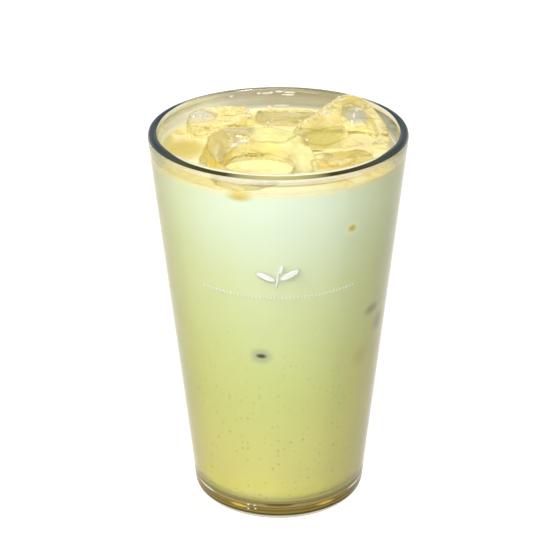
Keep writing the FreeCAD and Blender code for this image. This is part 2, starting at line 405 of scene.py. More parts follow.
tumbler = turned("tumbler_glass", tumbler_profile())
tumbler.data.materials.append(soda_lime_glass())
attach(tumbler, "root")
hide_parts("glass_tumbler")

# ---------------------------------------------------------------------------------------
# The print: white ceramic enamel, screened on the front of the wall and fired on.  A small
# two-leaved sprig stands over a curved row of dashes and dots, 0.07 mm proud of the glass.
# ---------------------------------------------------------------------------------------
SPRIG_HEIGHT = 99.6 * MM
ROW_MIDDLE, ROW_ENDS = 92.0 * MM, 93.2 * MM
HALF_ROW = 0.66
HALF_ENAMEL, OUT_OF_WALL = 0.05 * MM, 0.02 * MM


def enamel_marks(name, marks):
    """Flat pointed ovals on the wall, each given as (angle, height, length, width, tilt).

    On a grid of (along, round) the half width falls to nothing at both ends, and the
    thickness goes round as an ellipse, so that each mark is one closed lens.
    """
    along = np.linspace(-1.0, 1.0, 9)
    round_it = np.linspace(0.0, 2.0 * math.pi, 6, endpoint=False)
    full = (1.0 - np.abs(along) ** 2.6) ** 0.8
    full[0] = full[-1] = 0.0
    marks = np.array(marks)
    angle, height, length, width, tilt = (marks[:, k, None, None] for k in range(5))
    run = along[None, :, None] * length / 2.0
    side = full[None, :, None] * np.cos(round_it) * width / 2.0
    lift = full[None, :, None] * np.sin(round_it) * HALF_ENAMEL
    shift = run * np.cos(tilt) - side * np.sin(tilt)
    z = height + run * np.sin(tilt) + side * np.cos(tilt)
    radius = outer_radius(z) + OUT_OF_WALL + lift
    turn = angle + shift / radius
    return shell(name, np.stack([radius * np.sin(turn), -radius * np.cos(turn), z], -1))


def fired_enamel():
    """White ceramic enamel: opaque, satin, a little uneven where the screen left it thin."""
    made, tree = new_material("white_ceramic_enamel_fired")
    here = node(tree, "ShaderNodeTexCoord").outputs["Object"]
    grain = node(tree, "ShaderNodeTexNoise", {
        "Vector": here, "Scale": 1.0 / (0.8 * MM), "Detail": 2.0})
    tone = node(tree, "ShaderNodeValToRGB", {0: grain.outputs[0]}, stops=[
        (0.3, "#eef6f2"), (0.6, "#ffffff")])
    enamel = node(tree, "ShaderNodeBsdfPrincipled", {
        "Base Color": tone.outputs[0], "Roughness": 0.35, "IOR": 1.5})
    node(tree, "ShaderNodeOutputMaterial", {"Surface": enamel.outputs[0]})
    return made


sprig = [
    (-0.010, SPRIG_HEIGHT - 0.6 * MM, 7.4 * MM, 0.75 * MM, 1.45),
    (-0.105, SPRIG_HEIGHT + 0.2 * MM, 7.6 * MM, 2.7 * MM, -0.42),
    (0.090, SPRIG_HEIGHT + 0.9 * MM, 7.6 * MM, 2.7 * MM, 0.48),
    (0.020, SPRIG_HEIGHT + 3.2 * MM, 3.6 * MM, 1.7 * MM, 1.35)]
# Dash, dot, dash, dot, over and over along the row: length, width and tilt.
REPEAT = [(1.7, 0.5, 1.2), (0.7, 0.6, 0.0), (1.3, 0.5, -1.0), (0.7, 0.6, 0.0)]
dashes = []
for number, place in enumerate(np.linspace(-1.0, 1.0, 43)):
    long, wide, tilt = REPEAT[number % len(REPEAT)]
    dashes.append((HALF_ROW * place, ROW_MIDDLE + (ROW_ENDS - ROW_MIDDLE) * place ** 2,
                   long * MM, wide * MM, tilt))
print_marks = enamel_marks("enamel_sprig_and_row", sprig + dashes)
print_marks.data.materials.append(fired_enamel())
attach(print_marks, "root")

# ---------------------------------------------------------------------------------------
# The ice: blocks from an ice maker, frozen round a finger that leaves a cup-shaped hollow in
# one face, then half melted in the drink so that every edge is round and every face wavy.
# ---------------------------------------------------------------------------------------
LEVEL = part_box("latte")[1][2]
UNDER_TOP = 0.2 * MM


def waves(points, seed, length, height, count=7):
    """Smooth unevenness: the mean of sine waves of random direction near one wave length."""
    draw = np.random.default_rng(seed)
    total = np.zeros(points.shape[:-1])
    for _ in range(count):
        direction = draw.normal(size=3)
        direction /= np.linalg.norm(direction)
        number = 2.0 * math.pi / (length * draw.uniform(0.7, 1.5))
        total += np.sin(points @ direction * number + draw.uniform(0.0, 2.0 * math.pi))
    return height * total / count


def turn_matrix(spin, lean, swing):
    """Spin about the block's own axis, then lean towards -Y, then swing about Z."""
    def about(axis, degrees):
        """The matrix of a turn about X or Z by that angle."""
        c, s = math.cos(math.radians(degrees)), math.sin(math.radians(degrees))
        if axis == "z":
            return np.array([[c, -s, 0.0], [s, c, 0.0], [0.0, 0.0, 1.0]])
        return np.array([[1.0, 0.0, 0.0], [0.0, c, -s], [0.0, s, c]])
    return about("z", swing) @ about("x", lean) @ about("z", spin)


def ice_rings(size, hollow, edges, seed, count=128):
    """Rings of a melted block about its own middle.

    The outline in plan is a superellipse.  It grows from the middle of the base round the
    base edge, up the side, over the lip, and then narrows to the hollow's own ellipse and
    down its wall to its lowest point.  Waves push every point in or out along its ring.
    """
    length, width, height = size
    hollow_length, hollow_width, depth, hollow_x, hollow_y = hollow
    power, base_edge, lip_edge = edges
    angle = np.linspace(0.0, 2.0 * math.pi, count, endpoint=False)
    cos, sin = np.cos(angle), np.sin(angle)
    reach = (np.abs(cos) ** power + np.abs(sin) ** power) ** (-1.0 / power)
    outer = np.stack([length / 2.0 * reach * cos, width / 2.0 * reach * sin], -1)
    inner = np.stack([hollow_x + hollow_length * cos, hollow_y + hollow_width * sin], -1)
    half = min(length, width) / 2.0
    quarter = np.linspace(0.0, math.pi / 2.0, 14)
    base_scale = 1.0 - base_edge / half * (1.0 - np.sin(quarter))
    base_rise = base_edge * (1.0 - np.cos(quarter))
    rings, heights = [], []
    for share in np.linspace(0.0, 1.0, 12, endpoint=False):
        rings.append(outer * base_scale[0] * share)
        heights.append(-height / 2.0)
    for scale, rise in zip(base_scale, base_rise):
        rings.append(outer * scale)
        heights.append(-height / 2.0 + rise)
    side_foot, side_top = heights[-1], height / 2.0 - lip_edge
    for share in np.linspace(0.0, 1.0, 26)[1:]:
        rings.append(outer * (1.0 + 0.05 * math.sin(math.pi * share)))
        heights.append((1.0 - share) * side_foot + share * side_top)
    brim = side_top + max(0.0, -depth)
    for turn in np.linspace(0.0, math.pi, 30)[1:]:
        share = (1.0 - math.cos(turn)) / 2.0
        rings.append(outer * (1.0 - share) + inner * share)
        foot = side_top if turn < math.pi / 2.0 else brim
        heights.append(foot + (side_top + lip_edge - foot) * math.sin(turn) ** 0.5)
    floor = min(brim, side_top - depth)
    centre = np.array([hollow_x, hollow_y])
    for turn in np.linspace(0.0, math.pi / 2.0, 26)[1:]:
        rings.append(centre + (inner - centre) * math.cos(turn))
        heights.append(brim + (floor - brim) * math.sin(turn))
    flat = np.array(rings)
    tall = np.broadcast_to(np.array(heights)[:, None, None], (*flat.shape[:2], 1))
    points = np.concatenate([flat, tall], axis=-1)
    push = np.stack([waves(points, seed + place, 14.0 * MM, 1.0 * MM)
                     + waves(points, seed + 10 + place, 5.0 * MM, 0.40 * MM)
                     for place in range(3)], -1)
    # Low ridges 2.3 mm apart, where the block froze layer on layer.
    layers = 0.14 * MM * np.sin(points[..., 2:] * 2.0 * math.pi / (2.3 * MM)
                                + 2.0 * points[..., :1] / (9.0 * MM))
    outward = points * np.array([1.0, 1.0, 0.0])
    outward = outward / np.maximum(np.linalg.norm(outward, axis=-1, keepdims=True), MM)
    return points + push + layers * outward


# One entry a block: size, hollow (two semi-axes, depth, place; a depth below nothing is a
# raised top), edges (how square the plan is, base and lip rounding), spin-lean-swing in
# degrees, and the seed of its waves.
ICE = {
    "ice_front": dict(size=(36.5, 33.5, 27.0), hollow=(12.0, 9.4, 15.0, -2.6, -1.4),
                      edges=(3.4, 6.0, 2.6), turns=(-18.0, 20.0, 36.0), seed=11),
    "ice_left": dict(size=(22.0, 14.0, 18.0), hollow=(6.5, 3.4, -2.0, 0.5, -0.5),
                     edges=(3.6, 4.5, 2.2), turns=(22.0, 9.0, -14.0), seed=23),
    "ice_peak": dict(size=(30.4, 26.2, 12.0), hollow=(4.8, 8.2, 7.0, 7.2, 1.2),
                     edges=(3.1, 5.4, 2.2), turns=(27.0, 50.0, 13.4), seed=37),
    "ice_back": dict(size=(23.0, 12.0, 18.0), hollow=(7.5, 2.6, -2.0, 0.0, 0.0),
                     edges=(3.6, 4.0, 2.2), turns=(-4.0, 3.0, 0.0), seed=41),
    "ice_right": dict(size=(21.0, 10.0, 12.0), hollow=(6.5, 2.2, -2.0, 0.0, 0.0),
                      edges=(3.4, 3.8, 2.2), turns=(4.0, 5.0, 10.0), seed=59),
}


def ice_block(name, form, shrink=0.0, label=None):
    """The block of that node, in place; shrink draws its surface in for the drink's cavity.

    Its box is centred on the node's own, and it stays a little under the whole part's top.
    """
    size, hollow = np.array(form["size"]) * MM, np.array(form["hollow"]) * MM
    power, base_edge, lip_edge = form["edges"]
    rings = ice_rings(size, hollow, (power, base_edge * MM, lip_edge * MM), form["seed"])
    matrix = turn_matrix(*form["turns"])
    placed = rings @ matrix.T
    low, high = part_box(name)
    middle = (np.array(low) + np.array(high)) / 2.0
    reach = (placed.min(axis=(0, 1)) + placed.max(axis=(0, 1))) / 2.0
    placed = placed - reach + middle
    placed[..., 2] += min(0.0, cad_high[2] - UNDER_TOP - placed[..., 2].max())
    piece = shell(label or name + "_melted", placed)
    if shrink:
        mesh = piece.data
        points = np.empty(len(mesh.vertices) * 3, np.float32)
        normals = np.empty(len(mesh.vertices) * 3, np.float32)
        mesh.vertices.foreach_get("co", points)
        mesh.vertices.foreach_get("normal", normals)
        mesh.vertices.foreach_set("co", points - shrink * normals)
        mesh.update()
    return piece


# Spots that tint the blocks, partly milk in the ice and mostly painted light and shade:
# amber and olive where shaded drink shows through, bright painted light on the dome, white
# painted highlights and a grey-white painted reflection; place, reach, colour, core, and how
# clear it is there as a grey.
ICE_SPOTS = [
    ((-21.0, -10.0, 133.0), (7.0, 15.0, 9.0), "#eed656", 0.4, "#989898"),
    ((-14.0, 0.0, 136.4), (6.0, 8.0, 3.0), "#e2c854", 0.2, "#a8a8a8"),
    ((0.0, -4.0, 135.0), (12.0, 12.0, 9.0), "#fffab0", 0.5, "#8c8c8c"),
    ((11.0, -15.0, 132.0), (8.0, 14.0, 7.0), "#fffbb8", 0.4, "#888888"),
    ((-20.5, -24.0, 132.5), (5.5, 9.0, 3.2), "#f2d860", 0.4, "#909090"),
    ((-16.8, -16.2, 134.4), (2.6, 3.4, 1.0), "#fbfaf4", 0.4, "#505050"),
    ((-14.1, -13.5, 135.4), (2.6, 3.2, 0.9), "#fbfaf4", 0.4, "#505050"),
    ((-11.5, -11.2, 135.9), (2.4, 3.0, 0.8), "#fbfaf4", 0.4, "#505050"),
    ((15.6, -15.4, 129.0), (5.0, 5.0, 3.0), "#ecd684", 0.3, "#a0a0a0"),
    ((4.0, 21.0, 133.0), (14.0, 9.0, 5.0), "#c9bb66", 0.5, "#b0b0b0"),
    ((14.0, 6.0, 131.0), (11.0, 9.0, 5.5), "#d2ca7c", 0.6, "#a4a4a4"),
    ((9.3, -4.8, 133.3), (2.6, 4.4, 2.2), "#d8c05c", 0.2, "#a8a8a8"),
    ((31.8, 11.0, 136.0), (3.0, 9.0, 8.0), "#f3e8ac", 0.4, "#909090"),
    ((25.5, 13.0, 141.5), (6.5, 8.0, 2.8), "#e2d184", 0.3, "#a0a0a0"),
    ((24.0, -9.0, 131.0), (12.0, 7.0, 4.5), "#e2d07c", 0.3, "#a8a8a8"),
    ((27.2, 15.8, 135.4), (5.4, 6.0, 5.6), "#cfd5de", 0.3, "#888888"),
    ((27.0, 16.0, 137.6), (0.8, 3.0, 1.7), "#ffffff", 0.2, "#484848"),
    ((26.2, 17.0, 134.9), (0.7, 3.0, 1.8), "#ffffff", 0.2, "#484848"),
    ((25.5, 17.0, 132.4), (0.6, 3.0, 1.5), "#ffffff", 0.2, "#484848"),
    ((28.0, 14.8, 138.2), (2.4, 3.0, 0.7), "#ffffff", 0.3, "#404040"),
    ((-27.0, 18.0, 135.0), (9.0, 9.0, 2.5), "#e2e2d8", 0.2, "#b4b4b4")]


def melting_ice():
    """Ice wet with melt water and filmed with milk: mostly clear, partly cloudy cream.

    The clouds are a few millimetres across and lie flat, as the ice froze.  Thin amber lines,
    in bands up its height, are painted shade for the dark lines that its melted steps
    refract, and seen edge on it is painted darker amber, painted shade for the drink
    refracted at its outline.
    """
    made, tree = new_material("cloudy_ice_wet_melting")
    here = node(tree, "ShaderNodeTexCoord").outputs["Object"]
    flat = node(tree, "ShaderNodeMapping", {"Vector": here, "Scale": (1.0, 1.0, 2.2)})
    cloud = node(tree, "ShaderNodeTexNoise", {
        "Vector": flat.outputs[0], "Scale": 1.0 / (7.0 * MM), "Detail": 3.0,
        "Roughness": 0.55, "Distortion": 0.6})
    tone = node(tree, "ShaderNodeValToRGB", {0: cloud.outputs[0]}, stops=[
        (0.28, "#ece0a2"), (0.46, "#f8f1c6"), (0.64, "#fdfadc")]).outputs[0]
    clear = node(tree, "ShaderNodeValToRGB", {0: cloud.outputs[0]}, stops=[
        (0.30, "#eeeeee"), (0.66, "#d6d6d6")]).outputs[0]
    # Painted light and shade from the spots, in colour and in clearness.
    for centre, reach, colour, full, grey in ICE_SPOTS:
        tone = spot(tree, here, tone, centre, reach, colour, full)
        clear = spot(tree, here, clear, centre, reach, grey, full)
    # Painted shade: thin amber lines in bands up the height, for the dark lines the ice
    # refracts.
    spread = node(tree, "ShaderNodeMapping", {
        "Vector": here, "Scale": (1.0 / (10.0 * MM), 1.0 / (10.0 * MM), 1.0 / (10.0 * MM))})
    lines = node(tree, "ShaderNodeTexWave", {
        "Vector": spread.outputs[0], "Scale": 0.7, "Distortion": 5.0, "Detail": 1.5,
        "Detail Scale": 1.1}, bands_direction="Z")
    lines = node(tree, "ShaderNodeMapRange", {
        "Value": lines.outputs["Fac"], "From Min": 0.05, "From Max": 0.01, "To Max": 0.42})
    tone = node(tree, "ShaderNodeMix", {
        "Factor": lines.outputs[0], "A": tone, "B": linear("#b09a30")},
        data_type="RGBA").outputs["Result"]
    # Painted shade: edge on, the ice turns darker amber, for the drink refracted at its
    # outline.
    edge_on = node(tree, "ShaderNodeLayerWeight", {"Blend": 0.5})
    outline = node(tree, "ShaderNodeMapRange", {
        "Value": edge_on.outputs["Facing"], "From Min": 0.78, "From Max": 0.97,
        "To Max": 0.75})
    tone = node(tree, "ShaderNodeMix", {
        "Factor": outline.outputs[0], "A": tone, "B": linear("#9c8a2c")}, data_type="RGBA")
    ripple = node(tree, "ShaderNodeTexNoise", {
        "Vector": flat.outputs[0], "Scale": 1.0 / (4.0 * MM), "Detail": 2.0,
        "Roughness": 0.45, "Distortion": 0.8})
    bump = node(tree, "ShaderNodeBump", {
        "Height": ripple.outputs[0], "Strength": 0.6, "Distance": 0.9 * MM})
    ice = node(tree, "ShaderNodeBsdfPrincipled", {
        "Base Color": tone.outputs["Result"], "Roughness": 0.02, "IOR": 1.31,
        "Transmission Weight": clear, "Normal": bump.outputs[0]})
    tint = node(tree, "ShaderNodeVolumeAbsorption", {
        "Color": linear("#f2eed0"), "Density": 6.0})
    lets_lamps_through(tree, ice.outputs[0], tint.outputs[0])
    return made


ice_material = melting_ice()
for ice_name, ice_form in ICE.items():
    block = ice_block(ice_name, ice_form)
    block.data.materials.append(ice_material)
    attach(block, "root")
    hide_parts(ice_name)

# ---------------------------------------------------------------------------------------
# The drink: milk over sweet potato paste, opaque, whiter where the milk lies on top and
# yellow-green towards the paste.  It wets the glass and the ice, so its edge creeps up.
# ---------------------------------------------------------------------------------------
INTO_WALL = 0.1 * MM
INTO_ICE = 0.12 * MM
CREEP, CREEP_REACH = 1.0 * MM, 1.3 * MM


def drink_profile():
    """From the middle of the floor up the wall and in along the surface to its middle."""
    edge = inner_radius(LEVEL + CREEP) + INTO_WALL
    floor = FLOOR_HEIGHT - INTO_WALL
    wall_foot = (BOWL_RADIUS + INTO_WALL, floor)
    bowl_arc = corner((0.0, floor), wall_foot, (edge, LEVEL + CREEP), BOWL_ROUND)
    across = edge * (1.0 - np.linspace(0.0, 1.0, 60) ** 2)[:-1]
    surface = LEVEL + CREEP * np.exp(-(edge - across) / CREEP_REACH)
    return np.concatenate([
        line((0.0, floor), bowl_arc[0], 10), bowl_arc,
        line(bowl_arc[-1], (edge, LEVEL + CREEP), 90)[1:],
        np.stack([across, surface], -1), [(0.0, LEVEL)]])


def cut_out(piece, tools):
    """Takes the tools' shapes out of a piece and deletes the tools."""
    for tool in tools:
        cut = piece.modifiers.new("cut", "BOOLEAN")
        cut.operation = "DIFFERENCE"
        cut.solver = "EXACT"
        cut.object = tool
    evaluated = piece.evaluated_get(bpy.context.evaluated_depsgraph_get())
    mesh = bpy.data.meshes.new_from_object(evaluated)
    piece.modifiers.clear()
    piece.data = mesh
    for tool in tools:
        bpy.data.objects.remove(tool)


# Painted light and shade on the side, mostly where ice touches the glass: darker smudges
# and a brown dot of painted shade for the shaded ice seen into, an amber dot for lit ice,
# a pale halo of painted light and a blue-grey halo of painted reflection, and one broad
# spot of painted light that makes the lower right side lighter; place, reach, colour and
# core.
WALL_SPOTS = [
    ((29.6, -18.0, 78.8), (4.6, 6.0, 3.0), "#b0a88a", 0.1),
    ((31.6, -12.6, 71.5), (3.6, 6.0, 5.4), "#a3987a", 0.1),
    ((26.0, -19.0, 61.5), (5.5, 7.0, 6.0), "#cfce94", 0.1),
    ((23.0, -30.8, 113.9), (4.4, 4.4, 4.0), "#fbffe6", 0.1),
    ((23.0, -30.8, 113.9), (2.1, 2.4, 1.9), "#d8c84c", 0.2),
    ((29.0, -8.0, 42.0), (18.0, 30.0, 44.0), "#ece996", 0.0),
    ((-5.6, -33.3, 68.3), (5.0, 3.4, 4.2), "#b9c3a6", 0.2),
    ((-5.6, -33.3, 68.3), (2.3, 2.3, 1.2), "#4d3408", 0.35),
    ((-12.4, -38.1, 128.0), (6.4, 4.0, 2.4), "#dcc556", 0.2)]

# Mostly painted shade and light on the surface and in the hollows under the ice: darker
# amber and olive where the drink lies in shade under and between the blocks, dark lines of
# painted shade at their feet, and paler patches of painted light; the same columns, place,
# reach, colour and core.
TOP_SPOTS = [
    ((-32.0, 1.0, 128.0), (11.0, 13.0, 9.0), "#e2ce70", 0.3),
    ((-27.5, -13.5, 128.0), (5.0, 5.0, 6.0), "#fbf8dc", 0.4),
    ((-20.5, -12.0, 126.0), (5.5, 10.0, 12.0), "#e9cf5e", 0.2),
    ((4.0, 30.0, 127.0), (19.0, 9.5, 9.0), "#d8c878", 0.3),
    ((16.0, 9.0, 126.0), (11.0, 8.0, 10.0), "#d3c46f", 0.4),
    ((23.0, -13.0, 127.0), (19.0, 9.0, 6.0), "#e2ca78", 0.5),
    ((26.5, 8.0, 128.0), (9.0, 9.0, 6.0), "#efe2ae", 0.4),
    ((26.8, -3.4, 128.4), (5.4, 1.1, 1.5), "#a48c2c", 0.3),
    ((12.5, -0.8, 128.6), (4.4, 1.2, 1.6), "#a48c2c", 0.3),
    ((0.0, -38.0, 129.0), (36.0, 10.0, 5.0), "#fffcce", 0.5),
    ((39.0, 6.0, 129.4), (3.5, 16.0, 1.6), "#cdc3a4", 0.4),
    ((-38.5, 8.0, 129.4), (3.0, 14.0, 1.5), "#dfd48e", 0.4)]


def sweet_potato_milk():
    """Opaque milk with sweet potato: its colour runs with height, its top is cream yellow.

    Fine specks of skin hang in the lower half.  Under the ice it is painted paler, painted
    light for the light that enters the milk there and comes out again, and a dark line of
    painted shade rings each hollow just under the level.
    """
    made, tree = new_material("sweet_potato_milk")
    here, _, _, z, radius = places(tree)
    flare = (BORE_RADIUS - BOWL_RADIUS) / (GLASS_TOP - FLOOR_HEIGHT)
    wall = node(tree, "ShaderNodeMath", {0: z, 1: flare, 2: inner_radius(0.0)},
                operation="MULTIPLY_ADD")
    inward = node(tree, "ShaderNodeMath", {0: wall.outputs[0], 1: radius},
                  operation="SUBTRACT")
    specks = node(tree, "ShaderNodeTexVoronoi", {
        "Vector": here, "Scale": 1.0 / (2.0 * MM), "Randomness": 1.0})
    weight = node(tree, "ShaderNodeSeparateXYZ", {0: specks.outputs["Color"]})
    depth = LEVEL - FLOOR_HEIGHT
    # The shares, in the same way as the glass has them.
    share = {}
    for name, source, low, high, last, curve in [
            ("height", z, FLOOR_HEIGHT, LEVEL, 1.0, "LINEAR"),
            ("low_down", z, FLOOR_HEIGHT + 0.72 * depth, FLOOR_HEIGHT + 0.25 * depth, 0.32,
             "LINEAR"),
            ("skin", z, LEVEL - 2.0 * MM, LEVEL + 0.6 * MM, 1.0, "SMOOTHSTEP"),
            ("sunk", z, LEVEL - 0.8 * MM, LEVEL - 3.0 * MM, 0.65, "LINEAR"),
            ("shade_line_under_level", z, LEVEL - 0.15 * MM, LEVEL - 0.35 * MM, 1.0, "LINEAR"),
            ("under", z, LEVEL - 1.4 * MM, LEVEL - 0.8 * MM, 1.0, "LINEAR"),
            ("high_up", z, 40.0 * MM, 60.0 * MM, 1.0, "LINEAR"),
            ("crept", z, LEVEL - 0.1 * MM, LEVEL + 0.6 * MM, 0.55, "LINEAR"),
            ("inside", inward.outputs[0], 0.0, 0.5 * MM, 1.0, "LINEAR"),
            ("dot", specks.outputs["Distance"], 0.36, 0.16, 1.0, "LINEAR"),
            ("weight", weight.outputs[0], 0.4, 1.0, 1.0, "LINEAR")]:
        share[name] = node(tree, "ShaderNodeMapRange", {
            "Value": source, "From Min": low, "From Max": high, "To Max": last},
            interpolation_type=curve).outputs[0]
    swirl = node(tree, "ShaderNodeTexNoise", {
        "Vector": here, "Scale": 1.0 / (9.0 * MM), "Detail": 3.0, "Distortion": 1.2})
    share["swirl"] = swirl.outputs[0]
    for name, one, two, how in [
            ("speck", "dot", "low_down", "MULTIPLY"), ("speck", "speck", "weight", "MULTIPLY"),
            ("shade_line_under_level", "shade_line_under_level", "under", "MULTIPLY"),
            ("inside", "inside", "high_up", "MULTIPLY"),
            ("inside", "inside", "crept", "MAXIMUM"),
            ("uneven", "swirl", "inside", "MULTIPLY")]:
        share[name] = node(tree, "ShaderNodeMath", {0: share[one], 1: share[two]},
                           operation=how).outputs[0]
    cloud = node(tree, "ShaderNodeTexNoise", {
        "Vector": here, "Scale": 1.0 / (22.0 * MM), "Detail": 3.0})
    drift = node(tree, "ShaderNodeMath", {
        0: cloud.outputs[0], 1: 0.16, 2: -0.08}, operation="MULTIPLY_ADD")
    drifted = node(tree, "ShaderNodeMath", {0: share["height"], 1: drift.outputs[0]},
                   operation="ADD")
    side = node(tree, "ShaderNodeValToRGB", {0: drifted.outputs[0]}, stops=[
        (0.0, "#fffeb4"), (0.05, "#f4f28e"), (0.12, "#e9e897"), (0.35, "#dce597"),
        (0.52, "#dfeaac"), (0.72, "#e6f1cb"), (0.88, "#eaf9e8"), (1.0, "#eefdf2")])
    side = node(tree, "ShaderNodeMix", {
        "Factor": share["speck"], "A": side.outputs[0], "B": linear("#9c9446")},
        data_type="RGBA").outputs["Result"]
    # Painted light and shade on the side from the spots.
    for centre, reach, colour, full in WALL_SPOTS:
        side = spot(tree, here, side, centre, reach, colour, full)
    side = node(tree, "ShaderNodeMix", {
        "Factor": share["skin"], "A": side, "B": linear("#fbfbd8")}, data_type="RGBA")
    top = node(tree, "ShaderNodeValToRGB", {0: share["swirl"]}, stops=[
        (0.34, "#f0de94"), (0.46, "#fff4b2"), (0.60, "#fff8c0")]).outputs[0]
    # Painted shade and light on the surface from the spots.
    for centre, reach, colour, full in TOP_SPOTS:
        top = spot(tree, here, top, centre, reach, colour, full)
    # Painted light, paler under the ice, and painted shade, a dark line just under the level.
    for name, colour in [("sunk", "#fffbe0"), ("shade_line_under_level", "#a6943a")]:
        top = node(tree, "ShaderNodeMix", {
            "Factor": share[name], "A": top, "B": linear(colour)},
            data_type="RGBA").outputs["Result"]
    colour = node(tree, "ShaderNodeMix", {
        "Factor": share["inside"], "A": side.outputs["Result"], "B": top},
        data_type="RGBA")
    bump = node(tree, "ShaderNodeBump", {
        "Height": share["uneven"], "Strength": 0.5, "Distance": 0.8 * MM})
    milk = node(tree, "ShaderNodeBsdfPrincipled", {
        "Base Color": colour.outputs["Result"], "Roughness": 0.22, "IOR": 1.35,
        "Normal": bump.outputs[0]})
    node(tree, "ShaderNodeOutputMaterial", {"Surface": milk.outputs[0]})
    return made


drink = turned("milk_drink", drink_profile())
cavities = [ice_block(name, form, INTO_ICE, "cavity_" + name) for name, form in ICE.items()]
cut_out(drink, cavities)
drink.data.materials.clear()
drink.data.materials.append(sweet_potato_milk())
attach(drink, "root")
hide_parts("latte")

# ---------------------------------------------------------------------------------------
# White lenses that stand in for highlights: thin white streaks on the far wall just under
# the rim, painted highlights for the lamps, shaped as dried milk, and a few froth bubbles on
# the ice whose white is partly a painted glint.  Each is a small closed lens that lies on
# its surface.
# ---------------------------------------------------------------------------------------


def lenses(name, centres, outward, along, sizes):
    """Flattened spheres: sizes are (half length, half height, half thickness).

    Latitude and longitude run over a unit sphere, scaled along three axes at right angles:
    along the streak, out of the surface, and their cross product.
    """
    latitude = np.linspace(-math.pi / 2.0, math.pi / 2.0, 9)[:, None]
    longitude = np.linspace(0.0, 2.0 * math.pi, 12, endpoint=False)
    ball = np.stack(np.broadcast_arrays(
        np.cos(latitude) * np.cos(longitude), np.cos(latitude) * np.sin(longitude),
        np.sin(latitude)), -1)
    outward = outward / np.linalg.norm(outward, axis=1, keepdims=True)
    along = along / np.linalg.norm(along, axis=1, keepdims=True)
    axes = np.stack([along, np.cross(outward, along), outward], 1)
    moved = np.einsum("rvk,nk,nkc->nrvc", ball, sizes, axes)
    return shell(name, centres[:, None, None] + moved)


def froth_and_highlight_white():
    """Milk froth and white painted highlights: white, a little see-through where it is thin,
    glossy.
    """
    made, tree = new_material("froth_and_painted_highlight_white")
    here = node(tree, "ShaderNodeTexCoord").outputs["Object"]
    patchy = node(tree, "ShaderNodeTexNoise", {
        "Vector": here, "Scale": 1.0 / (0.9 * MM), "Detail": 2.0})
    tone = node(tree, "ShaderNodeValToRGB", {0: patchy.outputs[0]}, stops=[
        (0.3, "#fbf9ec"), (0.6, "#ffffff")])
    froth = node(tree, "ShaderNodeBsdfPrincipled", {
        "Base Color": tone.outputs[0], "Roughness": 0.12, "IOR": 1.35,
        "Transmission Weight": 0.05})
    node(tree, "ShaderNodeOutputMaterial", {"Surface": froth.outputs[0]})
    return made


# White streaks on the far wall, painted highlights: angle from +Y towards +X, height, half
# length, half height.
STREAKS = [
    (-0.170, 135.0, 0.8, 0.36), (-0.105, 134.9, 2.0, 0.34), (-0.060, 135.1, 0.7, 0.48),
    (0.012, 135.4, 1.7, 0.32), (0.100, 135.1, 2.3, 0.30), (0.085, 134.3, 2.9, 0.28),
    (0.030, 130.4, 4.6, 0.20), (-0.080, 130.0, 0.8, 0.40), (-0.420, 134.9, 0.9, 0.30)]
# Froth bubbles on the ice, their white partly a painted glint: the block, the place in plan,
# the radius.
BUBBLES = [
    ("ice_peak", 9.9, 1.5, 0.55), ("ice_peak", 16.1, 9.0, 0.60),
    ("ice_peak", 20.5, 19.0, 0.35), ("ice_peak", 21.5, 14.5, 0.30),
    ("ice_left", -29.4, 16.5, 0.45), ("ice_left", -27.6, 17.5, 0.30),
    ("ice_left", -25.3, 17.5, 0.50), ("ice_left", -22.6, 15.5, 0.35),
    ("ice_back", -3.4, 21.0, 0.40), ("ice_back", 6.0, 20.0, 0.30)]

streak = np.array(STREAKS) * (1.0, MM, MM, MM)
far_side = np.stack([np.sin(streak[:, 0]), np.cos(streak[:, 0]), np.zeros(len(streak))], -1)
centres = far_side * inner_radius(streak[:, 1])[:, None] + (0.0, 0.0, 1.0) * streak[:, 1:2]
across_wall = np.cross(far_side, (0.0, 0.0, 1.0))
sizes = np.stack([streak[:, 2], streak[:, 3], np.full(len(streak), 0.12 * MM)], -1)
# Each bubble sits on the highest point of its block near its place.
spots = []
for block_name, x, y, reach in BUBBLES:
    mesh = bpy.data.objects[block_name + "_melted"].data
    skin = np.empty(len(mesh.vertices) * 3, np.float32)
    mesh.vertices.foreach_get("co", skin)
    skin = skin.reshape(-1, 3)
    away = np.hypot(skin[:, 0] - x * MM, skin[:, 1] - y * MM)
    near_by = skin[away < away.min() + 0.6 * MM]
    highest = near_by[near_by[:, 2].argmax()]
    spots.append((*(highest + (0.0, 0.0, 0.3 * reach * MM)), reach * MM))
spots = np.array(spots)
up = np.tile((0.0, 0.0, 1.0), (len(spots), 1))
highlight_streaks_and_bubbles = lenses(
    "highlight_streaks_and_froth_bubbles", np.concatenate([centres, spots[:, :3]]),
    np.concatenate([-far_side, up]),
    np.concatenate([across_wall, np.tile((1.0, 0.0, 0.0), (len(spots), 1))]),
    np.concatenate([sizes, np.repeat(spots[:, 3:], 3, axis=1)]))
highlight_streaks_and_bubbles.data.materials.append(froth_and_highlight_white())
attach(highlight_streaks_and_bubbles, "root")

# ---------------------------------------------------------------------------------------
# The stage: a plain white table and room, a large soft lamp in front on the left with a weak
# one on the right and small ones above, and the camera of someone who sits before the drink
# and looks down on it.
# ---------------------------------------------------------------------------------------


